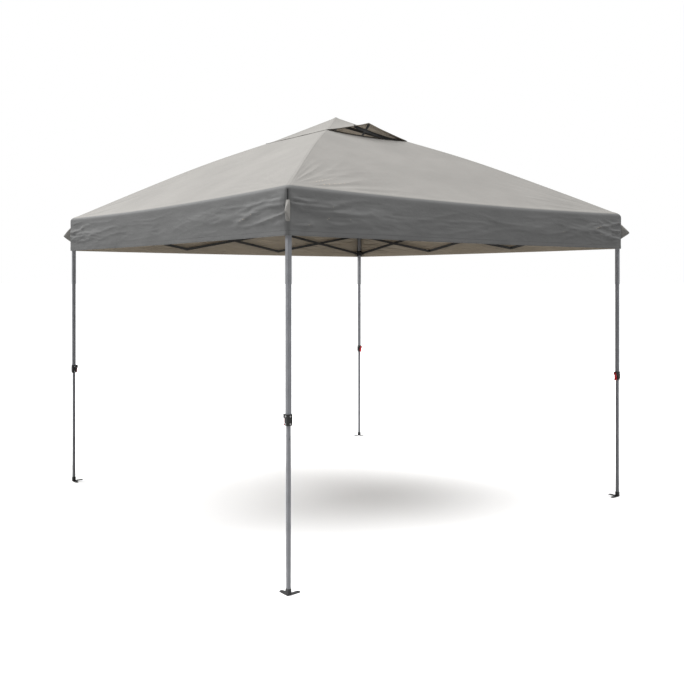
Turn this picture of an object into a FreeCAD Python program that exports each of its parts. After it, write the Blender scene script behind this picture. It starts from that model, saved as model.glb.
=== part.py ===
"""Pop-up canopy tent: four telescoping legs, a folding scissor truss on each side, roof ribs and a fabric top.

Millimetres, +Z up. The origin is on the floor under the middle of the tent. The two sides of the square run
along X and Y. Front is -Y and left is -X.
"""

import FreeCAD, Part
import math
import os

from FreeCAD import Placement, Rotation, Vector

# ---------------------------------------------------------------------------------------------- dimensions
SIZES = {
    # frame
    "leg_half_spacing": 1475.0,
    "outer_tube": 25.0,
    "outer_bore": 22.0,
    "tube_round": 2.5,
    "outer_bottom": 870.0,
    "outer_top": 2050.0,
    "inner_tube": 19.0,
    "inner_bore": 16.0,
    "inner_round": 2.0,
    "inner_top": 1250.0,
    "bright_hole_z": 790.0,
    "bright_hole_r": 3.5,
    # foot
    "plate_thick": 3.0,
    "plate_arm": 58.0,
    "plate_wide": 27.0,
    "plate_setback": 13.5,
    "plate_web": 66.0,
    "web_share_x": 0.6,
    "web_share_y": 1.55,
    "stake_hole_r": 4.5,
    "foot_rivet_r": 4.0,
    "foot_rivet_z": 16.0,
    "collar_side": 22.6,
    "collar_tall": 30.0,
    # leg adjuster
    "housing_side": 33.0,
    "housing_tall": 58.0,
    "housing_bottom": 858.0,
    "housing_chamfer": 4.0,
    "inner_slot": 19.6,
    "ear_reach": 12.0,
    "ear_thick": 4.0,
    "ear_tall": 22.0,
    "lever_pin_r": 2.0,
    "lever_pin_z": 905.0,
    "lever_pin_out": 22.5,
    "lever_wide": 17.0,
    "lever_thick": 4.0,
    "lever_long": 34.0,
    "lever_flare": 15.0,
    "lever_flare_deg": 32.0,
    "lever_barrel_r": 4.2,
    # head bracket and sliding bracket
    "bracket_side": 40.0,
    "bracket_tall": 56.0,
    "slider_side": 37.0,
    "slider_tall": 50.0,
    "slide_gap": 0.4,
    "pivot_out": 40.0,
    "top_pivot_z": 2030.0,
    "fork_half_gap": 11.2,
    "fork_thick": 4.0,
    "fork_r": 12.0,
    "pin_r": 3.0,
    "pin_hole_r": 3.06,
    # scissor bars
    "crosses": 3.0,
    "cross_rise": 176.0,
    "bar_thick": 8.6,
    "bar_wide": 20.0,
    "bar_layer": 5.6,
    "rivet_head_r": 6.0,
    "rivet_head": 1.6,
    # roof ribs and hub
    "rib_pivot_out": 47.0,
    "rib_pivot_z": 2046.0,
    "rib_fork_half_gap": 6.2,
    "rib_thick": 10.0,
    "rib_wide": 20.0,
    "rib_layer": 12.0,
    "elbow_radius": 1020.0,
    "elbow_z": 2460.0,
    "hub_pivot_radius": 62.0,
    "hub_pivot_z": 2762.0,
    "hub_r": 34.0,
    "hub_tall": 26.0,
    "hub_post_r": 14.0,
    "hub_top": 2812.0,
    # fabric
    "cloth": 1.5,
    "roof_half": 1500.0,
    "eave_z": 2070.0,
    "hem_z": 1820.0,
    "kink_half": 721.0,
    "kink_z": 2492.0,
    "mouth_half": 330.0,
    "mouth_z": 2664.0,
    "cap_half": 400.0,
    "cap_z": 2652.0,
    "cap_tip_half": 6.0,
    "cap_top_z": 2834.0,
}

doc = FreeCAD.newDocument("canopy_tent")
sheet = doc.addObject("Spreadsheet::Sheet", "Sizes")
for row, (alias, value) in enumerate(SIZES.items(), start=1):
    sheet.set("A%d" % row, alias)
    sheet.set("B%d" % row, str(value))
    sheet.setAlias("B%d" % row, alias)
doc.recompute()

# Each corner's own +X and +Y run along the two sides that meet there, so a corner is turned by quarter turns.
CORNERS = {"front_left": 0, "front_right": 1, "rear_right": 2, "rear_left": 3}
SIGNS = {"front_left": (-1, -1), "front_right": (1, -1), "rear_right": (1, 1), "rear_left": (-1, 1)}
# Each side runs from one corner to another, with the turn that carries +X onto that direction.
SIDES = {
    "front": ("front_left", 0),
    "left": ("front_left", 90),
    "right": ("front_right", 90),
    "rear": ("rear_left", 0),
}
AXIS_Y = Rotation(Vector(1, 0, 0), -90)  # turns a cylinder's +Z onto +Y
PARTS = []


def value(alias):
    """A driving dimension, for what an expression can't drive."""
    return SIZES[alias]


def bind(obj, **formulas):
    """Binds an object's properties to expressions."""
    for prop, formula in formulas.items():
        obj.setExpression(prop, formula)


def cells(formula):
    """Puts the sheet's name before every alias in a formula."""
    words = sorted(SIZES, key=len, reverse=True)
    for place, word in enumerate(words):
        formula = formula.replace(word, "<%d>" % place)
    for place, word in enumerate(words):
        formula = formula.replace("<%d>" % place, "Sizes.%s" % word)
    return formula


def box(length, width, height, at):
    """A box centred on X and Y at a place, standing on it; sizes and place are formulas."""
    b = doc.addObject("Part::Box", "Box")
    bind(b, Length=cells(length), Width=cells(width), Height=cells(height))
    x, y, z = at
    b.setExpression(".Placement.Base.x", cells("%s - (%s) / 2" % (x, length)))
    b.setExpression(".Placement.Base.y", cells("%s - (%s) / 2" % (y, width)))
    b.setExpression(".Placement.Base.z", cells(z))
    return b


def rod(radius, height, at, turn=None):
    """A cylinder from a place along +Z, or along the turned +Z."""
    c = doc.addObject("Part::Cylinder", "Rod")
    bind(c, Radius=cells(radius), Height=cells(height))
    if turn is not None:
        c.Placement = Placement(Vector(), turn)
    for name, formula in zip("xyz", at):
        c.setExpression(".Placement.Base.%s" % name, cells(formula))
    return c


def fuse(*shapes):
    f = doc.addObject("Part::MultiFuse", "Fuse")
    f.Shapes = list(shapes)
    f.Refine = True
    return f


def cut(base, *tools):
    c = doc.addObject("Part::Cut", "Cut")
    c.Base = base
    c.Tool = tools[0] if len(tools) == 1 else fuse(*tools)
    return c


def common(base, tool):
    c = doc.addObject("Part::Common", "Common")
    c.Base = base
    c.Tool = tool
    return c


def soften(kind, obj, alias, wanted):
    """A fillet or chamfer of the edges that wanted(edge) picks."""
    doc.recompute()
    size = value(alias)
    picked = [n for n, edge in enumerate(obj.Shape.Edges, start=1) if wanted(edge)]
    f = doc.addObject(kind, "Soften")
    f.Base = obj
    f.Edges = [(n, size, size) for n in picked]
    return f


def upright(edge):
    """True for a long straight edge along Z."""
    a, b = edge.Vertexes[0].Point, edge.Vertexes[-1].Point
    return math.hypot(a.x - b.x, a.y - b.y) < 0.01 and abs(a.z - b.z) > 1


def outside(half):
    """Picks upright edges that stand at the outer corners of a square."""
    def test(edge):
        p = edge.Vertexes[0].Point
        return upright(edge) and min(abs(p.x), abs(p.y)) > half - 0.6
    return test


def keep(obj, name, place=None):
    """Names a finished sub-part and puts it in its place."""
    obj.Label = name
    if place is not None:
        obj.Placement = place
    PARTS.append((name, obj))
    return obj


def corner_place(corner):
    sx, sy = SIGNS[corner]
    half = value("leg_half_spacing")
    return Placement(Vector(sx * half, sy * half, 0), Rotation(Vector(0, 0, 1), 90 * CORNERS[corner]))


# --------------------------------------------------------------------------------------------------- legs
def outer_leg(corner):
    tall = "outer_top - outer_bottom"
    skin = soften("Part::Fillet", box("outer_tube", "outer_tube", tall, ("0", "0", "outer_bottom")),
                  "tube_round", upright)
    bore = box("outer_bore", "outer_bore", tall + " + 2", ("0", "0", "outer_bottom - 1"))
    keep(cut(skin, bore), "outer_leg_" + corner, corner_place(corner))


def foot_plate():
    """Two rounded arms along the sides that meet at the corner, joined by a web cut off at 45 degrees."""
    back = "-plate_setback"
    pieces = []
    for length, width, x, y in (("plate_arm", "plate_wide", "plate_arm / 2", "0"),
                                ("plate_wide", "plate_arm", "0", "plate_arm / 2")):
        pieces.append(box(length + (" + plate_setback" if length == "plate_arm" else ""),
                          width + (" + plate_setback" if width == "plate_arm" else ""),
                          "plate_thick",
                          (x + (" - plate_setback / 2" if length == "plate_arm" else ""),
                           y + (" - plate_setback / 2" if width == "plate_arm" else ""), "0")))
    pieces.append(rod("plate_wide / 2", "plate_thick", ("plate_arm", "0", "0")))
    pieces.append(rod("plate_wide / 2", "plate_thick", ("0", "plate_arm", "0")))
    square = box("plate_web", "plate_web", "plate_thick",
                 ("plate_web / 2 " + back, "plate_web / 2 " + back, "0"))
    half_plane = box("plate_web", "plate_web * 3", "plate_thick", ("0", "0", "0"))
    half_plane.Placement = Placement(Vector(), Rotation(Vector(0, 0, 1), 45))
    half_plane.setExpression(".Placement.Base.x", cells("plate_web * web_share_x"))
    half_plane.setExpression(".Placement.Base.y", cells("-plate_web * web_share_y"))
    pieces.append(common(square, half_plane))
    return pieces


def inner_leg(corner):
    """The lower tube with its foot plate, base collar and rivet, all welded or pressed together."""
    tall = "inner_top - plate_thick"
    skin = soften("Part::Fillet", box("inner_tube", "inner_tube", tall, ("0", "0", "plate_thick")),
                  "inner_round", upright)
    collar = box("collar_side", "collar_side", "collar_tall", ("0", "0", "plate_thick - 0.5"))
    rivet = rod("foot_rivet_r", "collar_side + 3",
                ("0", "-collar_side / 2 - 1.5", "plate_thick + foot_rivet_z"), AXIS_Y)
    body = fuse(skin, collar, rivet, *foot_plate())
    bore = box("inner_bore", "inner_bore", tall + " + 1", ("0", "0", "plate_thick"))
    hole = rod("bright_hole_r", "inner_tube + 2", ("0", "-inner_tube / 2 - 1", "bright_hole_z"), AXIS_Y)
    stakes = [rod("stake_hole_r", "plate_thick + 2", at)
              for at in (("plate_arm", "0", "-1"), ("0", "plate_arm", "-1"))]
    keep(cut(body, bore, hole, *stakes), "inner_leg_" + corner, corner_place(corner))


def adjuster_housing(corner):
    """A chamfered moulded sleeve on the outer tube's lower end, with two ears for the lever."""
    block = soften("Part::Chamfer",
                   box("housing_side", "housing_side", "housing_tall", ("0", "0", "housing_bottom")),
                   "housing_chamfer", outside(value("housing_side") / 2))
    solids = [block]
    for side in ("", "-"):
        x = side + "(lever_wide / 2 + ear_thick / 2 + 0.3)"
        solids.append(box("ear_thick", "ear_reach + 4", "ear_tall",
                          (x, "housing_side / 2 + ear_reach / 2 - 2", "lever_pin_z - ear_tall / 2")))
    pin = rod("lever_pin_r", "lever_wide + ear_thick",
              ("-(lever_wide + ear_thick) / 2", "lever_pin_out", "lever_pin_z"),
              Rotation(Vector(0, 1, 0), 90))
    sleeve = box("outer_tube + 0.2", "outer_tube + 0.2", "housing_tall", ("0", "0", "outer_bottom - 0.1"))
    slot = box("inner_slot", "inner_slot", "housing_tall", ("0", "0", "housing_bottom - 1"))
    keep(cut(fuse(*solids, pin), sleeve, slot), "adjuster_housing_" + corner, corner_place(corner))


def adjuster_lever(corner):
    """The lever's blade hangs from its pin, and its lower end flares out for the finger."""
    blade = box("lever_wide", "lever_thick", "lever_long",
                ("0", "lever_pin_out + 1", "lever_pin_z - lever_long"))
    flare = box("lever_wide", "lever_thick", "lever_flare + 3", ("0", "0", "0"))
    down = value("lever_pin_z") - value("lever_long") + 1
    flare_base = Vector(-value("lever_wide") / 2, value("lever_pin_out") - 1, down)
    for name in "xyz":
        flare.setExpression(".Placement.Base.%s" % name, None)
    flare.Placement = Placement(flare_base, Rotation(Vector(1, 0, 0), -180 + value("lever_flare_deg")))
    barrel = rod("lever_barrel_r", "lever_wide", ("-lever_wide / 2", "lever_pin_out", "lever_pin_z"),
                 Rotation(Vector(0, 1, 0), 90))
    eye = rod("lever_pin_r + 0.08", "lever_wide + 2", ("-lever_wide / 2 - 1", "lever_pin_out", "lever_pin_z"),
              Rotation(Vector(0, 1, 0), 90))
    keep(cut(fuse(blade, flare, barrel), eye), "adjuster_lever_" + corner, corner_place(corner))


# ----------------------------------------------------------------------------------------------- brackets
def fork(z, turn, out="pivot_out", gap="fork_half_gap", start="pivot_out / 2"):
    """Two cheeks and a pin, reaching out from a bracket towards the turned +X."""
    pieces = []
    for side in ("", "-"):
        y = side + "(%s + fork_thick / 2)" % gap
        pieces.append(box("(%s) - (%s)" % (out, start), "fork_thick", "fork_r * 2",
                          ("(%s + %s) / 2" % (out, start), y, "%s - fork_r" % z)))
        base = "%s - fork_thick / 2" % y
        pieces.append(rod("fork_r", "fork_thick", (out, base, z), AXIS_Y))
    pieces.append(rod("pin_r", "2 * %s + 2 * fork_thick + 3" % gap,
                      (out, "-%s - fork_thick - 1.5" % gap, z), AXIS_Y))
    whole = fuse(*pieces)
    whole.Placement = Placement(Vector(), Rotation(Vector(0, 0, 1), turn))
    return whole


def head_bracket(corner):
    block = soften("Part::Fillet", box("bracket_side", "bracket_side", "bracket_tall",
                                       ("0", "0", "outer_top + 6 - bracket_tall")),
                   "housing_chamfer", outside(value("bracket_side") / 2))
    arms = [fork("top_pivot_z", 0), fork("top_pivot_z", 90),
            fork("rib_pivot_z", 45, "rib_pivot_out", "rib_fork_half_gap", "rib_pivot_out / 2")]
    socket = box("outer_tube + 0.1", "outer_tube + 0.1", "bracket_tall",
                 ("0", "0", "outer_top + 0.05 - bracket_tall"))
    keep(cut(fuse(block, *arms), socket), "head_bracket_" + corner, corner_place(corner))


def slider(corner):
    low = "(top_pivot_z - cross_rise)"
    block = soften("Part::Fillet", box("slider_side", "slider_side", "slider_tall",
                                       ("0", "0", low + " - slider_tall / 2")),
                   "housing_chamfer", outside(value("slider_side") / 2))
    arms = [fork(low, 0, start="pivot_out / 2 - 3"), fork(low, 90, start="pivot_out / 2 - 3")]
    bore = box("outer_tube + slide_gap * 2", "outer_tube + slide_gap * 2", "slider_tall + 2",
               ("0", "0", low + " - slider_tall / 2 - 1"))
    keep(cut(fuse(block, *arms), bore), "slider_" + corner, corner_place(corner))


# -------------------------------------------------------------------------------------------------- truss
PIN_SPOTS = {"a1": (0.5, 1.0), "a2": (0.0, 0.5, 1.0), "a3": (0.0, 0.5), "b1": (), "b2": (), "b3": ()}


def flat_bar(length, thick, wide, layer, pins, pin_from, pin_long, hole="pin_hole_r"):
    """A flat bar along +X with round ends, in a layer of Y. It has a rivet at some of its three spots and a
    hole at the others; spots are shares of its length."""
    solids = [box(length, thick, wide, ("(%s) / 2" % length, layer, "-(%s) / 2" % wide))]
    holes = []
    for spot in (0.0, 0.5, 1.0):
        x = "(%s) * %s" % (length, spot)
        if spot != 0.5:
            solids.append(rod("(%s) / 2" % wide, thick, (x, "%s - (%s) / 2" % (layer, thick), "0"), AXIS_Y))
        if spot in pins:
            solids.append(rod("pin_r", pin_long, (x, pin_from, "0"), AXIS_Y))
            for head in (pin_from, "%s + %s - rivet_head" % (pin_from, pin_long)):
                solids.append(rod("rivet_head_r", "rivet_head", (x, head, "0"), AXIS_Y))
        else:
            holes.append(rod(hole, "(%s) + 2" % thick, (x, "%s - (%s) / 2 - 1" % (layer, thick), "0"), AXIS_Y))
    return cut(fuse(*solids), *holes) if holes else fuse(*solids)


def bar_run():
    """Horizontal reach of one cross, and a bar's pivot-to-pivot length."""
    reach = (2 * value("leg_half_spacing") - 2 * value("pivot_out")) / value("crosses")
    return reach, math.hypot(reach, value("cross_rise"))


def truss_bar(side, bar):
    corner, turn = SIDES[side]
    reach, _ = bar_run()
    falling = bar.startswith("a")
    tilt = math.degrees(math.atan2(value("cross_rise"), reach)) * (1 if falling else -1)
    count = int(bar[1]) - 1
    length = "sqrt(((2 * leg_half_spacing - 2 * pivot_out) / crosses) ^ 2 + cross_rise ^ 2)"
    layer = "-bar_layer" if falling else "bar_layer"
    grip = "bar_layer + bar_thick / 2 + rivet_head"
    piece = flat_bar(length, "bar_thick", "bar_wide", layer, PIN_SPOTS[bar], "-(%s)" % grip, "2 * (%s)" % grip)
    start = Vector(value("pivot_out") + count * reach, 0,
                   value("top_pivot_z") - (0 if falling else value("cross_rise")))
    sx, sy = SIGNS[corner]
    half = value("leg_half_spacing")
    base = Placement(Vector(sx * half, sy * half, 0), Rotation(Vector(0, 0, 1), turn))
    local = Placement(start, Rotation(Vector(0, 1, 0), tilt))
    keep(piece, "truss_%s_%s" % (side, bar), base.multiply(local))


# --------------------------------------------------------------------------------------------------- ribs
RIB_SIDE = {"front_left": -1, "front_right": -1, "rear_right": -1, "rear_left": 1}


def rib_points():
    """Distances from the tent's middle and heights of a rib's corner pivot, elbow and hub pivot."""
    corner = value("leg_half_spacing") * math.sqrt(2) - value("rib_pivot_out")
    return ((corner, value("rib_pivot_z")), (value("elbow_radius"), value("elbow_z")),
            (value("hub_pivot_radius"), value("hub_pivot_z")))


def rib_arm(corner, name, start, end, layer):
    """An arm in the corner's diagonal plane, from one pivot to the next towards the middle."""
    (r1, z1), (r2, z2) = start, end
    length = math.hypot(r1 - r2, z1 - z2)
    tilt = math.degrees(math.atan2(z2 - z1, r1 - r2))
    solids = [box("%r" % length, "rib_thick", "rib_wide", ("%r / 2" % length, layer, "-rib_wide / 2"))]
    holes = []
    for x in ("0", "%r" % length):
        solids.append(rod("rib_wide / 2", "rib_thick", (x, "%s - rib_thick / 2" % layer, "0"), AXIS_Y))
        holes.append(rod("pin_hole_r", "rib_thick + 2", (x, "%s - rib_thick / 2 - 1" % layer, "0"), AXIS_Y))
    sx, sy = SIGNS[corner]
    turn = Rotation(Vector(0, 0, 1), 45 + 90 * CORNERS[corner])
    base = Placement(Vector(sx * r1 / math.sqrt(2), sy * r1 / math.sqrt(2), z1), turn)
    local = Placement(Vector(), Rotation(Vector(0, 1, 0), -tilt))
    keep(cut(fuse(*solids), *holes), "%s_%s" % (name, corner), base.multiply(local))


def ribs(corner):
    pivot, elbow, hub_end = rib_points()
    rib_arm(corner, "rib_outer", pivot, elbow, "0")
    rib_arm(corner, "rib_inner", elbow, hub_end, "%s * rib_layer" % RIB_SIDE[corner])


def hub():
    """The centre casting under the peak: a disc with a fork for each rib and a domed post that lifts the cap."""
    z = value("hub_pivot_z")
    solids = [rod("hub_r", "hub_tall", ("0", "0", "hub_pivot_z - hub_tall / 2")),
              rod("hub_post_r", "hub_top - hub_pivot_z", ("0", "0", "hub_pivot_z"))]
    reach = value("hub_pivot_radius")
    for corner, quarter in CORNERS.items():
        shift = RIB_SIDE[corner] * value("rib_layer")
        arm = fork("0", 0, "hub_pivot_radius", "rib_fork_half_gap", "hub_r - 14")
        out = Rotation(Vector(0, 0, 1), 225 + 90 * quarter)
        # the corner's own +Y is this fork's -Y, because the fork points outwards
        arm.Placement = Placement(out.multVec(Vector(0, -shift, 0)) + Vector(0, 0, z), out)
        solids.append(arm)
    dome = doc.addObject("Part::Sphere", "Dome")
    bind(dome, Radius=cells("hub_post_r"))
    dome.setExpression(".Placement.Base.z", cells("hub_top"))
    keep(fuse(*solids, common(dome, rod("hub_post_r", "hub_post_r - 4", ("0", "0", "hub_top")))), "hub")


# ------------------------------------------------------------------------------------------------- fabric
def square(half, z):
    p = doc.addObject("Part::RegularPolygon", "Square")
    p.Polygon = 4
    p.Placement = Placement(Vector(), Rotation(Vector(0, 0, 1), 45))
    p.setExpression("Circumradius", cells("(%s) * sqrt(2)" % half))
    p.setExpression(".Placement.Base.z", cells(z))
    return p


def tent_solid(levels):
    """A solid through squares at several heights."""
    loft = doc.addObject("Part::Loft", "Pyramid")
    loft.Sections = [square(half, z) for half, z in levels]
    loft.Solid = True
    loft.Ruled = True
    return loft


def canopy_roof():
    """The roof's four panels, from the eaves over the ribs' elbows to the mouth under the cap."""
    outer = tent_solid([("roof_half", "eave_z"), ("kink_half", "kink_z"), ("mouth_half", "mouth_z")])
    inner = tent_solid([("roof_half", "eave_z - cloth"), ("kink_half", "kink_z - cloth"),
                        ("mouth_half", "mouth_z - cloth")])
    mouth = box("mouth_half * 2 - 1", "mouth_half * 2 - 1", "40", ("0", "0", "mouth_z - 20"))
    keep(cut(outer, inner, mouth), "canopy_roof")


def vent_cap():
    outer = tent_solid([("cap_half", "cap_z"), ("cap_tip_half", "cap_top_z")])
    inner = tent_solid([("cap_half", "cap_z - cloth"), ("cap_tip_half", "cap_top_z - cloth")])
    keep(cut(outer, inner), "vent_cap")


def valance():
    tall = "eave_z - cloth - 0.1 - hem_z"
    outer = box("roof_half * 2", "roof_half * 2", tall, ("0", "0", "hem_z"))
    inner = box("roof_half * 2 - cloth * 2", "roof_half * 2 - cloth * 2", "400", ("0", "0", "hem_z - 50"))
    keep(cut(outer, inner), "valance")


# --------------------------------------------------------------------------------------------------- build
for corner_name in CORNERS:
    outer_leg(corner_name)
    inner_leg(corner_name)
    adjuster_housing(corner_name)
    adjuster_lever(corner_name)
    head_bracket(corner_name)
    slider(corner_name)
    ribs(corner_name)
for side_name in SIDES:
    for bar_name in PIN_SPOTS:
        truss_bar(side_name, bar_name)
hub()
canopy_roof()
valance()
vent_cap()

doc.recompute()
faults = [o.Label for o in doc.Objects if "Invalid" in o.State or "Error" in o.State]
faults += [name for name, o in PARTS if o.Shape.isNull() or not o.Shape.isValid() or not o.Shape.Solids]
if faults:
    raise RuntimeError("failed: %s" % ", ".join(faults))

os.makedirs("parts", exist_ok=True)
for name, obj in PARTS:
    obj.Shape.exportStep("parts/%s.step" % name)
print("nodes", len(PARTS))
for name, obj in PARTS:
    print(name, len(obj.Shape.Solids), round(obj.Shape.Volume / 1000, 1))
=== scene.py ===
"""Pop-up canopy tent: cloth roof, valance, vented cap and finishes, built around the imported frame."""

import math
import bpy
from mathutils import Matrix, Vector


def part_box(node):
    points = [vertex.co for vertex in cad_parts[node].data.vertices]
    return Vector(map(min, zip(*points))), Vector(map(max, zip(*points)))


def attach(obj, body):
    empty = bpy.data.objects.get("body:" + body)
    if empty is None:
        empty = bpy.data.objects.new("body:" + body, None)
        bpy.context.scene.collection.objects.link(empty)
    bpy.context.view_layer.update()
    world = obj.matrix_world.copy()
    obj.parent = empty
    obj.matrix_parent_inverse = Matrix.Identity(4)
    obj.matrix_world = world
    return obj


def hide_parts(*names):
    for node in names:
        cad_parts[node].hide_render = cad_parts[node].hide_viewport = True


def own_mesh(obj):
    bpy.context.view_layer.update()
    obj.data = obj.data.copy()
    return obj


bl_info = {
    "name": "Pop-up canopy tent",
    "version": (1, 0, 0),
    "blender": (4, 5, 0),
    "location": "View3D > Sidebar > Canopy",
    "description": "Builds a pop-up canopy's cloth, straps and finishes around its folding frame",
    "category": "Add Mesh",
}

import bmesh
import bpy
import numpy as np
from bpy.props import FloatProperty, FloatVectorProperty, IntProperty, PointerProperty
from mathutils import Matrix, Vector, noise

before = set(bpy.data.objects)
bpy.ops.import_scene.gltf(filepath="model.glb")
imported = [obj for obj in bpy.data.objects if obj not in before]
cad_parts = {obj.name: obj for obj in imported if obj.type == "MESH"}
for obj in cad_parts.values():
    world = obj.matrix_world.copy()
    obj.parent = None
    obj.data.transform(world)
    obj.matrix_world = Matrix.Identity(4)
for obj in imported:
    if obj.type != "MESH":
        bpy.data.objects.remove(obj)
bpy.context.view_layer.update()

CORNERS = {"front_left": (-1, -1), "front_right": (1, -1), "rear_right": (1, 1), "rear_left": (-1, 1)}
# Each side: its outward direction, the direction along it, and the corners at that direction's - and + ends.
SIDES = {
    "front": ((0, -1), (1, 0), "front_left", "front_right"),
    "right": ((1, 0), (0, 1), "front_right", "rear_right"),
    "rear": ((0, 1), (-1, 0), "rear_right", "rear_left"),
    "left": ((-1, 0), (0, -1), "rear_left", "front_left"),
}
ROOF_LOW, ROOF_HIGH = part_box("canopy_roof")
VALANCE_LOW, VALANCE_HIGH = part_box("valance")
CAP_LOW, CAP_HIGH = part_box("vent_cap")
RIB_LOW, RIB_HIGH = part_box("rib_outer_front_left")
HALF = ROOF_HIGH.x
EAVE_Z = ROOF_LOW.z
HEM_Z = VALANCE_LOW.z
MOUTH_Z = ROOF_HIGH.z
MOUTH_HALF = 0.33
KINK_HALF = -RIB_HIGH.x + 0.008
KINK_Z = RIB_HIGH.z + 0.034
CAP_HALF = 0.387
CAP_GAP = 0.003
PEAK_Z = CAP_HIGH.z
ELBOW_SOFTNESS = 0.0009
CAP_TIP = 0.004
INNER_ROWS, OUTER_ROWS, ROLL_ROWS, DROP_ROWS = 12, 66, 8, 34
VALANCE_ROW = INNER_ROWS + OUTER_ROWS + ROLL_ROWS // 2 - 1
VALANCE_HEM, CAP_HEM = 0.026, 0.02
TAB_TOP, TAB_REACH, TAB_TALL = 2.005, 0.066, 0.116
HOUSING_FACE, BRACKET_FACE = 0.0165, 0.0185


# ------------------------------------------------------------------------------------------------ settings
class TentClothSettings(bpy.types.PropertyGroup):
    """Sizes of the cloth"""

    corner_radius: FloatProperty(name="Corner radius", description="Radius of the cloth round a post",
                                 default=0.026, min=0.005, max=0.08, unit="LENGTH")
    hip_radius: FloatProperty(name="Hip radius", description="Softness of the roof's hips in plan",
                              default=0.012, min=0.002, max=0.05, unit="LENGTH")
    eave_radius: FloatProperty(name="Eave radius", description="Radius of the roll from roof to valance",
                               default=0.042, min=0.005, max=0.08, unit="LENGTH")
    cloth_thickness: FloatProperty(name="Cloth thickness", description="Thickness of the coated cloth",
                                   default=0.0008, min=0.0002, max=0.003, unit="LENGTH")
    roof_sag: FloatProperty(name="Roof sag", description="Fall of a panel's middle below its hips at the elbows",
                            default=0.034, min=0.0, max=0.1, unit="LENGTH")
    eave_sag: FloatProperty(name="Eave sag", description="Fall of an eave's middle below its corners",
                            default=0.018, min=0.0, max=0.1, unit="LENGTH")
    hem_lift: FloatProperty(name="Hem lift", description="Rise of a hem's middle above its corners",
                            default=0.014, min=0.0, max=0.1, unit="LENGTH")
    crease: FloatProperty(name="Crease depth", description="Depth of the drawn creases in the cloth",
                          default=0.0045, min=0.0, max=0.02, unit="LENGTH")
    vent_lift: FloatProperty(name="Vent lift", description="Rise of the cap's front edge over the roof",
                             default=0.092, min=0.0, max=0.2, unit="LENGTH")
    columns: IntProperty(name="Columns", description="Cloth columns in half a side", default=104, min=8, max=200)


class TentColourSettings(bpy.types.PropertyGroup):
    """Colours of the cloth and the frame"""

    roof: FloatVectorProperty(name="Roof", description="Coated roof cloth", subtype="COLOR", size=3,
                              default=(0.215, 0.208, 0.196), min=0, max=1)
    lining: FloatVectorProperty(name="Lining", description="The cloth's khaki inside", subtype="COLOR", size=3,
                                default=(0.34, 0.295, 0.235), min=0, max=1)
    # Painted shade: the valance is the same cloth as the roof, given a darker colour that stands for the shade
    # it hangs in.
    valance: FloatVectorProperty(name="Valance", description="Valance cloth", subtype="COLOR", size=3,
                                 default=(0.140, 0.141, 0.140), min=0, max=1)
    leg: FloatVectorProperty(name="Legs", description="Grey powder coat", subtype="COLOR", size=3,
                             default=(0.215, 0.22, 0.235), min=0, max=1)
    truss: FloatVectorProperty(name="Truss", description="Black powder coat", subtype="COLOR", size=3,
                               default=(0.022, 0.022, 0.021), min=0, max=1)
    plastic: FloatVectorProperty(name="Brackets", description="Moulded brackets", subtype="COLOR", size=3,
                                 default=(0.012, 0.012, 0.012), min=0, max=1)
    lever: FloatVectorProperty(name="Levers", description="Red levers", subtype="COLOR", size=3,
                               default=(0.62, 0.012, 0.022), min=0, max=1)


class TentCameraSettings(bpy.types.PropertyGroup):
    """Where the tent is seen from"""

    azimuth: FloatProperty(name="Azimuth", description="Turn of the view to the left of the front",
                           default=math.radians(38.85), subtype="ANGLE")
    distance: FloatProperty(name="Distance", description="Level distance to the tent's middle",
                            default=6.163, unit="LENGTH")
    eye: FloatProperty(name="Eye height", description="Height of the camera", default=1.6065, unit="LENGTH")
    aside: FloatProperty(name="Aside", description="Shift of the camera to its right", default=0.0478,
                         unit="LENGTH")
    lens: FloatProperty(name="Lens", description="Focal length in mm on a 36 mm sensor", default=42.48)
    shift: FloatProperty(name="Shift", description="Vertical shift of the frame", default=-0.0939)


def settings():
    scene = bpy.context.scene
    return scene.tent_cloth, scene.tent_colours, scene.tent_camera


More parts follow.
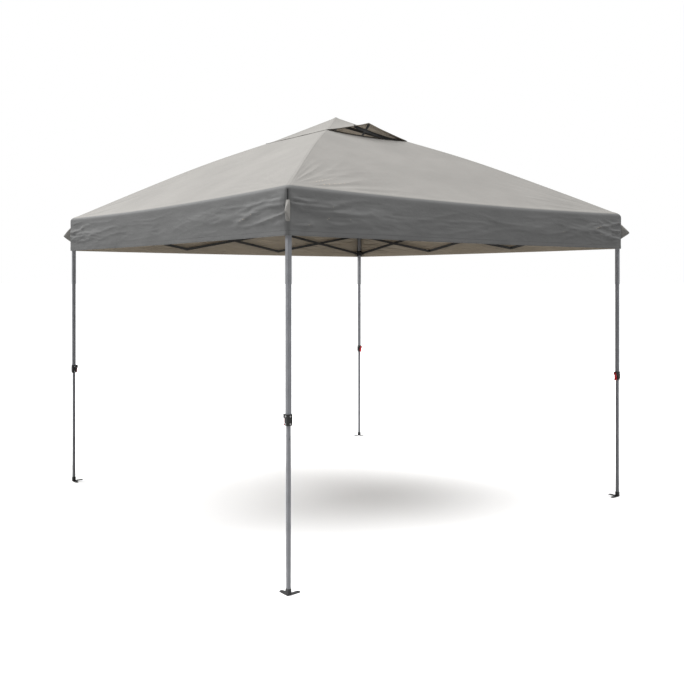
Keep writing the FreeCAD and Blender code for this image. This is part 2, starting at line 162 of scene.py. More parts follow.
# ------------------------------------------------------------------------------------------------ materials
class Nodes:
    """Short forms for adding and linking shader nodes in one material."""

    def __init__(self, name):
        self.material = bpy.data.materials.new(name)
        self.material.use_nodes = True
        self.tree = self.material.node_tree
        self.tree.nodes.clear()
        self.out = self.tree.nodes.new("ShaderNodeOutputMaterial")
        self.shader = self.tree.nodes.new("ShaderNodeBsdfPrincipled")
        self.tree.links.new(self.shader.outputs[0], self.out.inputs[0])

    def add(self, kind, inputs=(), **props):
        node = self.tree.nodes.new(kind)
        for key, item in props.items():
            setattr(node, key, item)
        for key, item in dict(inputs).items():
            self.put(node.inputs[key], item)
        return node

    def put(self, socket, item):
        if isinstance(item, bpy.types.NodeSocket):
            self.tree.links.new(item, socket)
        else:
            socket.default_value = item

    def where(self, uv=False):
        return self.add("ShaderNodeTexCoord").outputs["UV" if uv else "Object"]

    def scaled(self, vector, scale):
        return self.add("ShaderNodeMapping", {"Vector": vector, "Scale": scale}).outputs[0]

    def noise(self, vector, scale, detail=3.0, roughness=0.55):
        return self.add("ShaderNodeTexNoise", {"Vector": vector, "Scale": scale, "Detail": detail,
                                               "Roughness": roughness}).outputs[0]

    def math(self, operation, a, b=0.0):
        node = self.add("ShaderNodeMath", operation=operation)
        self.put(node.inputs[0], a)
        self.put(node.inputs[1], b)
        return node.outputs[0]

    def ramp(self, factor, low, high, start=0.0, end=1.0):
        node = self.add("ShaderNodeMapRange", {"Value": factor, "From Min": start, "From Max": end,
                                               "To Min": low, "To Max": high})
        return node.outputs[0]

    def mix(self, factor, a, b):
        node = self.add("ShaderNodeMix", data_type="RGBA")
        self.put(node.inputs[0], factor)
        self.put(node.inputs[6], a)
        self.put(node.inputs[7], b)
        return node.outputs[2]

    def bump(self, height, strength, distance, under=None):
        inputs = {"Height": height, "Strength": strength, "Distance": distance}
        if under is not None:
            inputs["Normal"] = under
        return self.add("ShaderNodeBump", inputs).outputs[0]

    def finish(self, **inputs):
        for key, item in inputs.items():
            self.put(self.shader.inputs[key.replace("_", " ")], item)
        return self.material


def shade(colour, share):
    return tuple(min(1.0, c * share) for c in colour) + (1.0,)


def cloth_material(name, colour, seam_rows=(), seam_columns=(), crease=0.5):
    """Coated plain-weave polyester. Its UV is in metres: V runs from 0 at a piece's lower edge."""
    m = Nodes(name)
    uv, place = m.where(uv=True), m.where()
    weft = m.add("ShaderNodeTexWave", {"Vector": uv, "Scale": 190.0, "Distortion": 0.6, "Detail": 1.0},
                 wave_type="BANDS", bands_direction="X").outputs["Fac"]
    warp = m.add("ShaderNodeTexWave", {"Vector": uv, "Scale": 190.0, "Distortion": 0.6, "Detail": 1.0},
                 wave_type="BANDS", bands_direction="Y").outputs["Fac"]
    weave = m.math("MULTIPLY", weft, warp)
    cloud = m.noise(place, 2.3, 4.0, 0.6)
    slub = m.noise(m.scaled(uv, (6.0, 60.0, 6.0)), 1.0, 4.0, 0.6)
    colour_out = m.mix(m.ramp(cloud, 0.0, 1.0, 0.25, 0.75), shade(colour, 0.90), shade(colour, 1.08))
    colour_out = m.mix(m.ramp(slub, 0.0, 0.35, 0.3, 0.8), colour_out, shade(colour, 0.86))
    normal = m.bump(weave, 0.18, 0.0006)
    wrinkle = m.noise(m.scaled(place, (1.0, 1.0, 2.2)), 11.0, 5.0, 0.62)
    normal = m.bump(wrinkle, crease, 0.004, normal)
    split = m.add("ShaderNodeSeparateXYZ", {"Vector": uv})
    for row, across, along in [(r, 1, 0) for r in seam_rows] + [(c, 0, 1) for c in seam_columns]:
        gap = m.math("ABSOLUTE", m.math("SUBTRACT", split.outputs[across], row))
        line = m.ramp(gap, 1.0, 0.0, 0.0006, 0.0018)
        stitch = m.math("GREATER_THAN", m.math("FRACT", m.math("MULTIPLY", split.outputs[along], 220.0)), 0.35)
        thread = m.math("MULTIPLY", line, stitch)
        colour_out = m.mix(m.math("MULTIPLY", thread, 0.55), colour_out, shade(colour, 0.45))
        normal = m.bump(m.math("MULTIPLY", line, -1.0), 0.6, 0.0012, normal)
    return m.finish(Base_Color=colour_out, Roughness=m.ramp(cloud, 0.62, 0.78), Normal=normal,
                    Specular_IOR_Level=0.12)


def coated_steel(name, colour, wear=(0.42, 0.42, 0.43)):
    """Powder coat: a fine orange-peel surface and a few rubbed streaks along the tube."""
    m = Nodes(name)
    place = m.where()
    peel = m.noise(place, 900.0, 2.0, 0.5)
    patch = m.noise(place, 14.0, 5.0, 0.65)
    streak = m.noise(m.scaled(place, (160.0, 160.0, 5.0)), 1.0, 4.0, 0.7)
    rubbed = m.ramp(streak, 0.0, 0.55, 0.66, 0.74)
    tone = m.mix(m.ramp(patch, 0.0, 1.0, 0.3, 0.7), shade(colour, 0.88), shade(colour, 1.12))
    tone = m.mix(m.math("MULTIPLY", rubbed, 0.35), tone, tuple(wear) + (1.0,))
    return m.finish(Base_Color=tone, Metallic=0.25, Roughness=m.ramp(patch, 0.36, 0.52),
                    Normal=m.bump(peel, 0.12, 0.0004), Specular_IOR_Level=0.5)


def moulded_plastic(name, colour, low=0.42, high=0.6):
    """Glass-filled nylon with a fine spark texture and slightly polished high spots."""
    m = Nodes(name)
    place = m.where()
    spark = m.noise(place, 1400.0, 2.0, 0.6)
    patch = m.noise(place, 40.0, 4.0, 0.6)
    tone = m.mix(m.ramp(patch, 0.0, 1.0, 0.3, 0.7), shade(colour, 0.85), shade(colour, 1.25))
    return m.finish(Base_Color=tone, Roughness=m.ramp(patch, low, high),
                    Normal=m.bump(spark, 0.2, 0.0003), Specular_IOR_Level=0.5)


def bright_steel(name):
    m = Nodes(name)
    place = m.where()
    brush = m.noise(m.scaled(place, (300.0, 300.0, 900.0)), 1.0, 3.0, 0.6)
    return m.finish(Base_Color=(0.58, 0.58, 0.57, 1.0), Metallic=0.95, Roughness=m.ramp(brush, 0.25, 0.42),
                    Normal=m.bump(brush, 0.08, 0.0003))


def webbing(name, colour):
    """Woven strap: herringbone ribs across its width."""
    m = Nodes(name)
    uv = m.where(uv=True)
    rib = m.add("ShaderNodeTexWave", {"Vector": uv, "Scale": 120.0, "Distortion": 1.2, "Detail": 2.0},
                wave_type="BANDS", bands_direction="DIAGONAL").outputs["Fac"]
    tone = m.mix(rib, shade(colour, 0.7), shade(colour, 1.5))
    return m.finish(Base_Color=tone, Roughness=0.8, Normal=m.bump(rib, 0.5, 0.0008), Sheen_Weight=0.15)


MATERIALS = {}


def material(name):
    """The scene's materials, made once and named for what they finish."""
    if not MATERIALS:
        colours = settings()[1]
        MATERIALS.update({
            "roof": cloth_material("roof_cloth", colours.roof, seam_columns=(0.009,), crease=0.35),
            "lining": cloth_material("khaki_lining", colours.lining, seam_columns=(0.009,), crease=0.4),
            # The valance's cloth is the roof's cloth with a darker colour that paints the shade on it.
            "valance": cloth_material("valance_cloth_painted_shade", colours.valance, seam_rows=(0.004, 0.024), crease=0.5),
            "leg": coated_steel("leg_powder_coat", colours.leg),
            "truss": coated_steel("truss_powder_coat", colours.truss, (0.16, 0.16, 0.16)),
            "plastic": moulded_plastic("bracket_nylon", colours.plastic),
            "lever": moulded_plastic("lever_red", colours.lever, 0.28, 0.42),
            "bright": bright_steel("bright_steel"),
            "strap": webbing("vent_webbing", (0.014, 0.014, 0.014)),
        })
    return MATERIALS[name]


# ------------------------------------------------------------------------------------------------ cloth shape
def smooth(x):
    x = min(1.0, max(0.0, x))
    return x * x * (3 - 2 * x)


def hip_height(reach):
    """Height of the hips at a distance from the middle: two straight arms with a soft elbow."""
    outer = EAVE_Z + (HALF - reach) * (KINK_Z - EAVE_Z) / (HALF - KINK_HALF)
    inner = MOUTH_Z + (MOUTH_HALF - reach) * (MOUTH_Z - KINK_Z) / (KINK_HALF - MOUTH_HALF)
    return 0.5 * (outer + inner - math.sqrt((outer - inner) ** 2 + ELBOW_SOFTNESS))


CAP_Z = hip_height(CAP_HALF) + CAP_GAP


def roof_fall(reach, across, side, cloth):
    """How far a panel lies below its hips, from 0 at a hip to the most at its middle."""
    middle = 1 - across * across
    if reach < KINK_HALF:
        deep = cloth.roof_sag * smooth((reach - MOUTH_HALF) / (KINK_HALF - MOUTH_HALF))
    else:
        share = (reach - KINK_HALF) / (HALF - KINK_HALF)
        deep = cloth.roof_sag + (cloth.eave_sag - cloth.roof_sag) * share
    lip = 0.019 * math.exp(-((reach - CAP_HALF) / 0.10) ** 2) if side == "front" else 0.0
    return (deep + lip) * middle


def ridge(x, y, z):
    """Sharp-crested noise, about -0.5 to 0.5: cloth folds are sharp along their crests."""
    return 0.5 - 2.0 * abs(noise.noise(Vector((x, y, z))))


def corner_fan(point, across, cloth):
    """Fine creases that fan out from the posts over the roof."""
    total = 0.0
    for k, (sx, sy) in enumerate(CORNERS.values()):
        dx, dy = HALF - point.x * sx, HALF - point.y * sy
        far = math.hypot(dx, dy)
        if far > 1.7:
            continue
        angle = math.atan2(dy, dx)
        strength = smooth(far / 0.16) * math.exp(-((far - 0.1) / 0.62) ** 2)
        fan = ridge(angle * 7.5, far * 1.5, k * 7.0) + 0.5 * ridge(angle * 17, far * 2.6, k * 5.0 + 3.0)
        total += strength * fan
    return total * cloth.crease * 2.8 * (1 - abs(across) ** 8)


def roof_drift(point, across, cloth):
    """Slow unevenness of stretched cloth."""
    slow = noise.noise(point * 1.9) * 0.006 + noise.noise(point * 5.3) * 0.0022
    packing = ridge(point.x * 4.0, point.y * 4.0, point.z * 3.0) * 0.0022
    return (slow + packing) * (1 - across ** 4)


def rounded(reach, radius, q):
    """A point on a square's side with round corners, as (outwards, along), for q from -1 to 1."""
    straight = reach - radius
    turn = radius * math.pi / 4
    run = abs(q) * (straight + turn)
    if run <= straight:
        return reach, math.copysign(run, q)
    angle = (run - straight) / radius
    along = straight + radius * math.sin(angle)
    return reach - radius * (1 - math.cos(angle)), math.copysign(along, q)


def spread(count):
    """Column places from -1 to 1, closer together towards the corners."""
    places = []
    for i in range(-count, count + 1):
        share = abs(i) / count
        places.append(math.copysign(1 - (1 - share) ** 1.6 * (1 - 0.35 * share), i) if i else 0.0)
    return places


def main_profile(cloth):
    """Rows from the roof's mouth to the hem, as (kind, amount, corner radius).

    The amount is a roof row's reach from the middle, a roll row's angle, or a drop row's share of the drop.
    """
    rows = []
    for i in range(INNER_ROWS):
        reach = MOUTH_HALF + (KINK_HALF - MOUTH_HALF) * i / INNER_ROWS
        rows.append(("roof", reach, cloth.hip_radius * (0.4 + 0.6 * i / INNER_ROWS)))
    edge = HALF - cloth.eave_radius
    for i in range(OUTER_ROWS):
        share = i / (OUTER_ROWS - 1)
        radius = cloth.hip_radius + (cloth.corner_radius - cloth.hip_radius) * smooth((share - 0.7) / 0.3)
        rows.append(("roof", KINK_HALF + (edge - KINK_HALF) * share, radius))
    start = math.atan2(KINK_Z - EAVE_Z, HALF - KINK_HALF)
    for i in range(1, ROLL_ROWS + 1):
        rows.append(("roll", start + (math.pi / 2 - start) * i / ROLL_ROWS, cloth.corner_radius))
    for i in range(1, DROP_ROWS + 1):
        rows.append(("drop", i / DROP_ROWS, cloth.corner_radius))
    return rows


def roll_base(cloth):
    """Where the eave's roll begins and its centre lies, at a corner."""
    edge = HALF - cloth.eave_radius
    start = math.atan2(KINK_Z - EAVE_Z, HALF - KINK_HALF)
    z0 = hip_height(edge)
    return z0 - cloth.eave_radius * math.cos(start), HALF - cloth.eave_radius, start


def main_point(side, row, q, cloth):
    """A point of the roof and valance sheet, with its place along the profile."""
    outward, sideways = (Vector(d + (0,)) for d in SIDES[side][:2])
    kind, amount, radius = row
    centre_z, centre_r, start = roll_base(cloth)
    if kind == "roof":
        reach, z = amount, hip_height(amount)
    elif kind == "roll":
        reach = centre_r + cloth.eave_radius * (math.sin(amount) - math.sin(start)) / (1 - math.sin(start))
        z = centre_z + cloth.eave_radius * math.cos(amount)
    else:
        reach, z = HALF, centre_z + (HEM_Z - centre_z) * amount
    out, along = rounded(reach, radius, q)
    across = min(1.0, abs(along) / reach)
    flat = outward * out + sideways * along
    if kind == "roof":
        z -= roof_fall(reach, across, side, cloth)
        point = Vector((flat.x, flat.y, z))
        settle = smooth((reach - MOUTH_HALF) / 0.2)
        point.z += corner_fan(point, across, cloth) * settle * (1 - 0.7 * smooth((reach - 1.40) / 0.09))
        point.z += roof_drift(point, across, cloth) * settle * (1 - smooth((reach - 1.38) / 0.11))
        return point
    z -= cloth.eave_sag * (1 - across * across)
    down = amount if kind == "drop" else 0.0
    z += cloth.hem_lift * (1 - across ** 2) * down
    end = 1 - across
    swell = 0.0
    if kind == "drop":
        gather = math.exp(-(end * HALF / 0.36) ** 1.3)
        folds = ridge(along * 2.6, down * 4.2 + along * 0.8, 4.0 + outward.x * 9 + outward.y * 5)
        folds += 0.55 * ridge(along * 6.5, down * 9.0, 11.0 + outward.x * 3 + outward.y * 7)
        tuck = math.sin(math.pi * min(1.0, down * 1.04))
        swell = cloth.crease * folds * tuck * (0.9 + 4.4 * gather)
        # The posts stand just inside the corners, so the cloth can't go in there, and both sides' edges meet.
        if swell < 0:
            swell *= 0.3 * smooth((end * HALF - 0.03) / 0.2)
        swell *= smooth(end * HALF / 0.03)
        billow = noise.noise(Vector((along * 1.6, 3.1, down * 1.2))) * 0.012 + 0.5 * noise.noise(
            Vector((along * 6.0, 9.0, down * 3.0))) * 0.006
        swell += billow * smooth(down * 1.6) * smooth(end * 9)
    flat = flat + outward * swell * smooth(end * 26)
    return Vector((flat.x, flat.y, z))


def cap_point(side, share, q, cloth):
    """A point of the cap, share 0 at the peak and 1 at its lower edge."""
    outward, sideways = (Vector(d + (0,)) for d in SIDES[side][:2])
    reach = max(CAP_HALF * share, CAP_TIP)
    out, along = rounded(reach, min(cloth.hip_radius, reach * 0.4), q)
    across = min(1.0, abs(along) / reach)
    z = CAP_Z + (PEAK_Z - CAP_Z) * (math.sqrt((1 - share) ** 2 + 0.0016) - 0.04 * share) * 0.985
    if side == "front":
        z += cloth.vent_lift * (1 - across) * share ** 2.2 - 0.004 * math.sin(math.pi * across) * share
    else:
        belly = 0.006 * (1 - across ** 2) * share * (1 - share) * 4
        z -= roof_fall(CAP_HALF, across, side, cloth) * share + belly
    flat = outward * out + sideways * along
    point = Vector((flat.x, flat.y, z))
    point.z += noise.noise(point * 7.0) * 0.003 * (1 - across ** 4) * share
    return point


# ------------------------------------------------------------------------------------------------ cloth pieces
def sheet_grid(side, rows, places, at):
    """Points of one side's sheet as an array of rows by columns."""
    return np.array([[at(side, row, q) for q in places] for row in rows], float)


def grid_normals(points):
    """Smooth normals of a grid, from its neighbours' differences."""
    down = np.gradient(points, axis=0)
    along = np.gradient(points, axis=1)
    normals = np.cross(down, along)
    size = np.linalg.norm(normals, axis=2, keepdims=True)
    return normals / np.maximum(size, 1e-12)


def joined_normals(grids):
    """Normals of four sides' grids, averaged where neighbouring sides meet at a corner."""
    normals = {side: grid_normals(points) for side, points in grids.items()}
    order = list(SIDES)
    for k, side in enumerate(order):
        after = order[(k + 1) % 4]
        shared = normals[side][:, -1] + normals[after][:, 0]
        shared /= np.maximum(np.linalg.norm(shared, axis=1, keepdims=True), 1e-12)
        normals[side][:, -1] = shared
        normals[after][:, 0] = shared
    return normals


def distance_up(points):
    """Each point's distance up its column from the grid's lower edge."""
    steps = np.linalg.norm(np.diff(points, axis=0), axis=2)
    up = np.zeros(points.shape[:2])
    up[:-1] = np.cumsum(steps[::-1], axis=0)[::-1]
    return up


def cloth_piece(name, points, normals, thickness, outer, inner, hem=0.0, hip_last=False):
    """A closed sheet through a grid of points, with an outer face, a lining and thin edges.

    It returns the piece and its area. V of its UV is the distance up from its lower edge, and U the distance
    from its hip or corner.
    """
    rows, columns = points.shape[:2]
    back = points - normals * thickness
    if hem:
        thick = np.where(distance_up(points) < hem, 0.0007, 0.0)[..., None]
        points = points + normals * thick
    v = distance_up(points)
    steps_u = np.linalg.norm(np.diff(points, axis=1), axis=2)
    u = np.zeros((rows, columns))
    if hip_last:
        u[:, :-1] = np.cumsum(steps_u[:, ::-1], axis=1)[:, ::-1]
    else:
        u[:, 1:] = np.cumsum(steps_u, axis=1)
    verts = np.concatenate([points.reshape(-1, 3), back.reshape(-1, 3)])
    n = rows * columns
    number = np.arange(n).reshape(rows, columns)
    a, b = number[:-1, :-1].ravel(), number[:-1, 1:].ravel()
    c, d = number[1:, 1:].ravel(), number[1:, :-1].ravel()
    front = np.stack([a, d, c, b], 1)
    faces = front.tolist() + (front[:, ::-1] + n).tolist()
    loop = list(number[0]) + list(number[1:, -1]) + list(number[-1, -2::-1]) + list(number[-2:0:-1, 0])
    for i, j in zip(loop, loop[1:] + loop[:1]):
        faces.append([int(i), int(j), int(j + n), int(i + n)])
    mesh = bpy.data.meshes.new(name)
    mesh.from_pydata(verts.tolist(), [], faces)
    mesh.materials.append(outer)
    mesh.materials.append(inner)
    split = len(front)
    kinds = [0] * split + [1] * split + [0] * (len(faces) - 2 * split)
    mesh.polygons.foreach_set("material_index", kinds)
    mesh.polygons.foreach_set("use_smooth", [k < 2 * split for k in range(len(faces))])
    layer = mesh.uv_layers.new(name="UVMap")
    flat_u, flat_v = np.tile(u.ravel(), 2), np.tile(v.ravel(), 2)
    corners = np.zeros(len(mesh.loops), np.int32)
    mesh.loops.foreach_get("vertex_index", corners)
    layer.data.foreach_set("uv", np.stack([flat_u[corners], flat_v[corners]], 1).ravel())
    shading = np.concatenate([normals.reshape(-1, 3), -normals.reshape(-1, 3)])[corners]
    for k in range(2 * split, len(faces)):
        polygon = mesh.polygons[k]
        shading[list(polygon.loop_indices)] = polygon.normal
    mesh.normals_split_custom_set(shading.tolist())
    piece = bpy.data.objects.new(name, mesh)
    bpy.context.scene.collection.objects.link(piece)
    area = float(np.linalg.norm(np.cross(points[1:, :-1] - points[:-1, :-1],
                                         points[:-1, 1:] - points[:-1, :-1]), axis=2).sum())
    return piece, area


def declare(points, area):
    """Works out the piece's flat size from its own points, not known beforehand; the size is not kept or used.
    """
    width = float(max(np.linalg.norm(np.diff(points[i], axis=0), axis=1).sum() for i in (0, -1)))
    length = float(max(np.linalg.norm(np.diff(points[:, j], axis=0), axis=1).sum() for j in (0, -1)))
    width, length = max(width, area / length), max(length, 0.02)


def halves(places):
    """Column ranges for the two halves of a side, each with the corner that it gathers on."""
    middle = len(places) // 2
    return ((slice(0, middle + 1), 2), (slice(middle, len(places)), 3))


def gather_on_rib(piece):
    """Gives the piece its own copy of its mesh."""
    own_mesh(piece)


class TENT_OT_roof(bpy.types.Operator):
    """Build the roof and valance from one grid of points, parted where the frame folds"""

    bl_idname = "tent.roof"
    bl_label = "Roof and valance"

    def execute(self, context):
        cloth = settings()[0]
        rows, places = main_profile(cloth), spread(cloth.columns)
        grids = {side: sheet_grid(side, rows, places, lambda s, r, q: main_point(s, r, q, cloth))
                 for side in SIDES}
        normals = joined_normals(grids)
        bands = (("roof_inner", slice(0, INNER_ROWS + 1)), ("roof_outer", slice(INNER_ROWS, VALANCE_ROW + 1)),
                 ("valance", slice(VALANCE_ROW, len(rows))))
        first = {"roof_inner": "canopy_roof", "valance": "valance"}
        for side in SIDES:
            for columns, corner_index in halves(places):
                corner = SIDES[side][corner_index]
                for band, chosen in bands:
                    self.piece(cloth, side, corner, band, grids[side][chosen, columns],
                               normals[side][chosen, columns], first)
        return {"FINISHED"}

    def piece(self, cloth, side, corner, band, points, normals, first):
        name = "%s_%s_by_%s" % (band, side, corner)
        # The valance's outer face takes the darker cloth colour that paints its shade.
        outer = material("valance" if band == "valance" else "roof")
        piece, area = cloth_piece(name, points, normals, cloth.cloth_thickness, outer, material("lining"),
                                  VALANCE_HEM if band == "valance" else 0.0, corner == SIDES[side][3])
        if band == "valance":
            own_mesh(piece)
            body = "post_" + corner
        elif band == "roof_outer":
            gather_on_rib(piece)
            body = "rib_outer_" + corner
        else:
            gather_on_rib(piece)
            body = "rib_inner_" + corner
        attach(piece, body)
        if band in first:
            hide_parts(first[band])
        declare(points, area)


class TENT_OT_cap(bpy.types.Operator):
    """Build the vented cap over the roof's mouth, with its front edge raised"""

    bl_idname = "tent.cap"
    bl_label = "Vented cap"

    def execute(self, context):
        cloth = settings()[0]
        places = spread(cloth.columns // 2)
        rows = [i / 26 for i in range(27)]
        grids = {side: sheet_grid(side, rows, places, lambda s, r, q: cap_point(s, r, q, cloth))
                 for side in SIDES}
        normals = joined_normals(grids)
        for side in SIDES:
            for columns, corner_index in halves(places):
                corner = SIDES[side][corner_index]
                points = grids[side][:, columns]
                piece, area = cloth_piece("cap_%s_by_%s" % (side, corner), points, normals[side][:, columns],
                                          cloth.cloth_thickness, material("roof"), material("lining"), CAP_HEM,
                                          corner == SIDES[side][3])
                gather_on_rib(piece)
                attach(piece, "rib_inner_" + corner)
                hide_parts("vent_cap")
                declare(points, area)
        return {"FINISHED"}


def ribbon(name, path, width_ways, finish, thickness=0.0012):
    """A flat strap along a path, as a closed mesh; width_ways is half its width as a vector."""
    points = np.array([[Vector(p) - Vector(width_ways), Vector(p) + Vector(width_ways)] for p in path], float)
    normals = np.tile(np.cross(points[-1, 0] - points[0, 0], points[0, 1] - points[0, 0]), (len(path), 2, 1))
    normals /= np.linalg.norm(normals, axis=2, keepdims=True)
    piece, area = cloth_piece(name, points, normals, thickness, finish, finish)
    return piece, points, area


def sagging(start, end, sag, steps=16):
    """Points of a strap that hangs a little between two ends."""
    a, b = Vector(start), Vector(end)
    return [a.lerp(b, i / steps) - Vector((0, 0, sag * 4 * (i / steps) * (1 - i / steps)))
            for i in range(steps + 1)]


class TENT_OT_vent_straps(bpy.types.Operator):
    """Cross two webbing straps in the vent's opening, from the cap's edge to the roof's lip"""

    bl_idname = "tent.vent_straps"
    bl_label = "Vent straps"

    def execute(self, context):
        cloth = settings()[0]
        front = -CAP_HALF + 0.012
        top = CAP_Z + cloth.vent_lift
        runs = {
            "vent_strap_across": ((-0.13, front, top - 0.036), (0.30, front + 0.02, CAP_Z - 0.004)),
            "vent_strap_down": ((0.01, front - 0.006, top - 0.006), (0.02, front + 0.13, CAP_Z - 0.02)),
        }
        for name, (start, end) in runs.items():
            across = name.endswith("across")
            half_width = (0.0, 0.003, 0.0125) if across else (0.0125, 0.0, 0.003)
            piece, points, area = ribbon(name, sagging(start, end, 0.006), half_width, material("strap"))
            corner = "front_right" if across else "front_left"
            gather_on_rib(piece)
            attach(piece, "rib_inner_" + corner)
            declare(points, area)
        return {"FINISHED"}


class TENT_OT_corner_tabs(bpy.types.Operator):
    """Pinch an ear of cloth out of the valance at each corner"""

    bl_idname = "tent.corner_tabs"
    bl_label = "Corner tabs"

    def execute(self, context):
        for corner, (sx, sy) in CORNERS.items():
            out = Vector((sx, sy, 0)).normalized()
            side = Vector((-out.y, out.x, 0))
            root = Vector((sx, sy, 0)) * (HALF - 0.012)
            points, normals = self.fold(root, out, side, TAB_TOP, TAB_REACH, TAB_TALL)
            finish = material("roof")
            piece, area = cloth_piece("pull_tab_" + corner, points, normals, 0.0008, finish, finish)
            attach(piece, "post_" + corner)
            declare(points, area)
        return {"FINISHED"}

    @staticmethod
    def fold(root, out, side, top, reach, tall):
        """A pinched ear of cloth, pointed below its middle: a narrow V at every height."""
        steps, wide, tip = 26, 0.013, 0.6
        points = []
        for i in range(steps + 1):
            t = i / steps
            away = (tip - t) / tip if t < tip else (t - tip) / (1 - tip)
            depth = 0.003 + reach * (1 - away ** 1.12)
            row = []
            for k in range(-7, 8):
                share = abs(k) / 7
                sideways = math.copysign(wide * share ** 0.8, k) + 0.003 * (1 - share) * math.sin(9 * t)
                height = Vector((0, 0, top - tall * t))
                row.append(root + side * sideways + out * depth * (1 - share ** 1.6) + height)
            points.append(row)
        points = np.array(points, float)
        normals = np.cross(np.gradient(points, axis=0), np.gradient(points, axis=1))
        return points, normals / np.linalg.norm(normals, axis=2, keepdims=True)


# ------------------------------------------------------------------------------------------------ hard details
def only(obj):
    bpy.ops.object.select_all(action="DESELECT")
    obj.select_set(True)
    bpy.context.view_layer.objects.active = obj


def pick(obj, wanted):
    """Selects the faces of the edited mesh whose centre and normal wanted() accepts."""
    mesh = bmesh.from_edit_mesh(obj.data)
    for face in mesh.faces:
        face.select = wanted(face.calc_center_median(), face.normal)
    mesh.select_flush(True)
    bmesh.update_edit_mesh(obj.data)


def pan_head_screw(name, radius, tall):
    """A pan-head screw with a cross recess, standing on the floor at the origin."""
    bpy.ops.object.select_all(action="DESELECT")
    bpy.ops.mesh.primitive_cylinder_add(vertices=24, radius=radius, depth=tall, location=(0, 0, tall / 2))
    screw = bpy.context.object
    screw.name = name
    bpy.ops.object.transform_apply(location=True, rotation=True, scale=True)
    bpy.ops.object.mode_set(mode="EDIT")
    bpy.ops.mesh.select_mode(type="FACE")
    pick(screw, lambda centre, normal: normal.z > 0.9)
    bpy.ops.mesh.inset(thickness=radius * 0.35, depth=tall * 0.25)
    bpy.ops.mesh.inset(thickness=radius * 0.25, depth=0)
    bpy.ops.mesh.inset(thickness=radius * 0.06, depth=-tall * 0.45)
    bpy.ops.object.mode_set(mode="OBJECT")
    return screw


def round_button(name, radius, tall):
    """A domed push button with a collar."""
    bpy.ops.object.select_all(action="DESELECT")
    bpy.ops.mesh.primitive_cylinder_add(vertices=32, radius=radius, depth=tall, location=(0, 0, tall / 2))
    button = bpy.context.object
    button.name = name
    bpy.ops.object.transform_apply(location=True, rotation=True, scale=True)
    bpy.ops.object.mode_set(mode="EDIT")
    bpy.ops.mesh.select_mode(type="FACE")
    pick(button, lambda centre, normal: normal.z > 0.9)
    bpy.ops.mesh.inset(thickness=radius * 0.22, depth=-tall * 0.35)
    bpy.ops.mesh.inset(thickness=radius * 0.08, depth=tall * 0.7)
    bpy.ops.mesh.inset(thickness=radius * 0.22, depth=tall * 0.18)
    bpy.ops.mesh.inset(thickness=radius * 0.2, depth=tall * 0.08)
    bpy.ops.object.mode_set(mode="OBJECT")
    return button


def placed_copy(model, name, place, face, finish, body):
    """A copy of a small model, stood on a face, with its place in its mesh."""
    mesh = model.data.copy()
    turn = Vector(face).to_track_quat("Z", "Y").to_matrix().to_4x4()
    mesh.transform(Matrix.Translation(place) @ turn)
    mesh.materials.clear()
    mesh.materials.append(finish)
    copy = bpy.data.objects.new(name, mesh)
    bpy.context.scene.collection.objects.link(copy)
    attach(copy, body)
    return copy


def local_axes(corner):
    """A corner's own X and Y: the two directions along the sides that meet there."""
    sx, sy = CORNERS[corner]
    along_x = Vector((-sx, 0, 0)) if sx * sy > 0 else Vector((0, -sy, 0))
    along_y = Vector((0, -sy, 0)) if sx * sy > 0 else Vector((-sx, 0, 0))
    return along_x, along_y


class TENT_OT_fasteners(bpy.types.Operator):
    """Add the housings' screws and the sliding brackets' snap buttons"""

    bl_idname = "tent.fasteners"
    bl_label = "Screws and snap buttons"

    def execute(self, context):
        screw = pan_head_screw("screw_model", 0.0042, 0.0022)
        button = round_button("button_model", 0.0085, 0.0022)
        for corner in CORNERS:
            low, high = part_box("outer_leg_" + corner)
            centre = (low + high) / 2
            along_x, along_y = local_axes(corner)
            house_low, house_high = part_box("adjuster_housing_" + corner)
            for n, out in enumerate((along_x, -along_x, -along_y)):
                for k, z in enumerate((house_low.z + 0.010, house_high.z - 0.010)):
                    place = Vector((centre.x, centre.y, z)) + out * HOUSING_FACE
                    placed_copy(screw, "housing_screw_%s_%d_%d" % (corner, n, k), place, out,
                                material("bright"), "post_" + corner)
            slider_low, slider_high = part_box("slider_" + corner)
            z = (slider_low.z + slider_high.z) / 2
            for n, out in enumerate((-along_x, -along_y)):
                place = Vector((centre.x, centre.y, z)) + out * BRACKET_FACE
                placed_copy(button, "snap_button_%s_%d" % (corner, n), place, out, material("lever"),
                            "slider_" + corner)
        for model in (screw, button):
            bpy.data.objects.remove(model)
        return {"FINISHED"}


FINISHES = (("outer_leg", "leg"), ("inner_leg", "leg"), ("adjuster_housing", "plastic"),
            ("adjuster_lever", "lever"), ("head_bracket", "plastic"), ("slider", "plastic"),
            ("truss", "truss"), ("rib", "truss"), ("hub", "plastic"))


class TENT_OT_frame_finish(bpy.types.Operator):
    """Give every frame piece its finish; a leg's foot plate is darker than its tube"""

    bl_idname = "tent.frame_finish"
    bl_label = "Frame finishes"

    def execute(self, context):
        for name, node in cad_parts.items():
            for start, finish in FINISHES:
                if name.startswith(start):
                    node.data.materials.clear()
                    node.data.materials.append(self.finish_for(name, finish))
        return {"FINISHED"}

    @staticmethod
    def finish_for(name, finish):
        return foot_and_leg() if name.startswith("inner_leg") else material(finish)


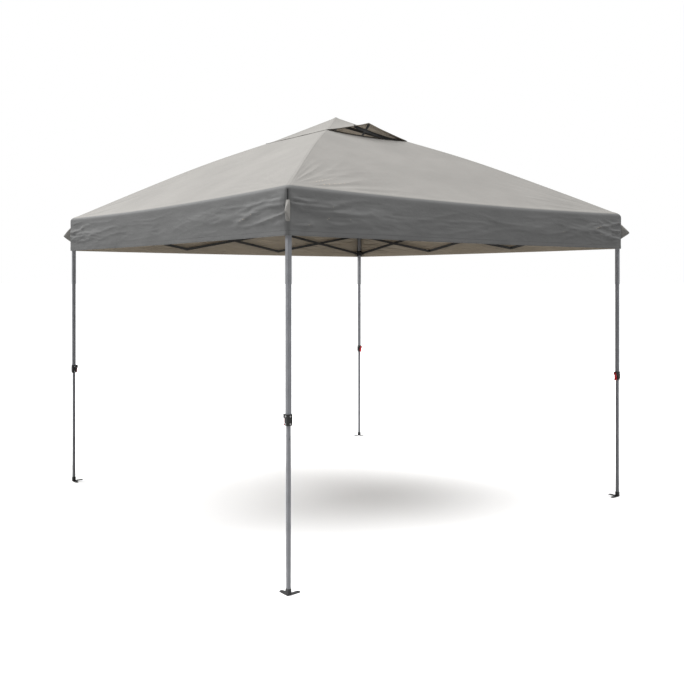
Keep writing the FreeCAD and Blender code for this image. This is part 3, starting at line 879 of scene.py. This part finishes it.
def foot_and_leg():
    """The inner leg's coat: dark on the foot and grey above."""
    if "inner" not in MATERIALS:
        colours = settings()[1]
        m = Nodes("inner_leg_coat")
        place = m.where()
        height = m.add("ShaderNodeSeparateXYZ", {"Vector": place}).outputs[2]
        patch = m.noise(place, 14.0, 5.0, 0.65)
        streak = m.noise(m.scaled(place, (160.0, 160.0, 5.0)), 1.0, 4.0, 0.7)
        grey = m.mix(m.ramp(patch, 0.0, 1.0, 0.3, 0.7), shade(colours.leg, 0.9), shade(colours.leg, 1.15))
        grey = m.mix(m.ramp(streak, 0.0, 0.4, 0.62, 0.75), grey, (0.44, 0.44, 0.45, 1.0))
        dark = m.mix(patch, (0.03, 0.03, 0.031, 1.0), (0.065, 0.065, 0.066, 1.0))
        above = m.ramp(height, 0.0, 1.0, 0.032, 0.034)
        tone = m.mix(above, dark, grey)
        MATERIALS["inner"] = m.finish(Base_Color=tone, Metallic=0.25, Roughness=m.ramp(patch, 0.34, 0.5),
                                      Normal=m.bump(m.noise(place, 900.0, 2.0, 0.5), 0.12, 0.0004))
    return MATERIALS["inner"]


# ------------------------------------------------------------------------------------------------ stage
def soft_sun(name, towards, spread_deg, power):
    """A wide, even light from one direction, so that the floor is lit alike everywhere."""
    light = bpy.data.lights.new(name, "SUN")
    light.energy, light.angle = power, math.radians(spread_deg)
    lamp = bpy.data.objects.new(name, light)
    bpy.context.scene.collection.objects.link(lamp)
    lamp.rotation_euler = Vector(towards).to_track_quat("Z", "Y").to_euler()


class TENT_OT_stage(bpy.types.Operator):
    """Set the pale floor, the soft lights and the camera"""

    bl_idname = "tent.stage"
    bl_label = "Floor, lights and camera"

    def execute(self, context):
        view = settings()[2]
        bpy.ops.mesh.primitive_plane_add(size=400, location=(0, 0, -0.0005))
        floor = context.object
        floor.name = "studio_floor"
        m = Nodes("studio_floor")
        # The camera sees a paler floor than the one that lights the cloth, which keeps its shadows faint.
        seen = m.add("ShaderNodeLightPath").outputs["Is Camera Ray"]
        floor.data.materials.append(m.finish(
            Base_Color=m.mix(seen, (0.38, 0.38, 0.38, 1), (0.86, 0.86, 0.86, 1)), Roughness=0.9))
        world = bpy.data.worlds.new("studio")
        context.scene.world = world
        world.use_nodes = True
        self.backdrop(world.node_tree)
        soft_sun("top_light", (0.35, -0.25, 1.0), 40, 4.4)
        soft_sun("rear_light", (-1.4, 2.3, 2.7), 50, 5.6)
        context.scene.view_settings.view_transform = "Standard"
        camera = bpy.data.cameras.new("camera")
        lens = bpy.data.objects.new("camera", camera)
        context.scene.collection.objects.link(lens)
        ahead = Vector((math.sin(view.azimuth), math.cos(view.azimuth), 0))
        right = Vector((ahead.y, -ahead.x, 0))
        lens.location = -ahead * view.distance + right * view.aside + Vector((0, 0, view.eye))
        lens.rotation_euler = ahead.to_track_quat("-Z", "Y").to_euler()
        camera.sensor_width, camera.lens, camera.shift_y = 36.0, view.lens, view.shift
        camera.clip_end = 200.0
        context.scene.camera = lens
        return {"FINISHED"}

    @staticmethod
    def backdrop(tree):
        """A white backdrop that lights the tent only a little."""
        background = tree.nodes["Background"]
        background.inputs["Color"].default_value = (1.0, 1.0, 1.0, 1.0)
        path = tree.nodes.new("ShaderNodeLightPath")
        strength = tree.nodes.new("ShaderNodeMapRange")
        strength.inputs["To Min"].default_value = 0.08
        strength.inputs["To Max"].default_value = 1.0
        tree.links.new(path.outputs["Is Camera Ray"], strength.inputs["Value"])
        tree.links.new(strength.outputs[0], background.inputs["Strength"])


OPERATORS = (TENT_OT_frame_finish, TENT_OT_roof, TENT_OT_cap, TENT_OT_vent_straps, TENT_OT_corner_tabs,
             TENT_OT_fasteners, TENT_OT_stage)
GROUPS = (TentClothSettings, TentColourSettings, TentCameraSettings)


class TENT_PT_canopy(bpy.types.Panel):
    """Lists the steps and sizes of the canopy"""

    bl_label = "Canopy tent"
    bl_idname = "TENT_PT_canopy"
    bl_space_type = "VIEW_3D"
    bl_region_type = "UI"
    bl_category = "Canopy"

    def draw(self, context):
        for group in settings():
            column = self.layout.column()
            for key in group.bl_rna.properties.keys():
                if key not in ("rna_type", "name"):
                    column.prop(group, key)
        for operator in OPERATORS:
            self.layout.operator(operator.bl_idname)


def register():
    for group in GROUPS + OPERATORS + (TENT_PT_canopy,):
        bpy.utils.register_class(group)
    bpy.types.Scene.tent_cloth = PointerProperty(type=TentClothSettings)
    bpy.types.Scene.tent_colours = PointerProperty(type=TentColourSettings)
    bpy.types.Scene.tent_camera = PointerProperty(type=TentCameraSettings)


def unregister():
    for name in ("tent_cloth", "tent_colours", "tent_camera"):
        delattr(bpy.types.Scene, name)
    for group in reversed(GROUPS + OPERATORS + (TENT_PT_canopy,)):
        bpy.utils.unregister_class(group)


def main():
    register()
    for step in (bpy.ops.tent.frame_finish, bpy.ops.tent.roof, bpy.ops.tent.cap, bpy.ops.tent.vent_straps,
                 bpy.ops.tent.corner_tabs, bpy.ops.tent.fasteners, bpy.ops.tent.stage):
        step()


if __name__ == "__main__":
    main()
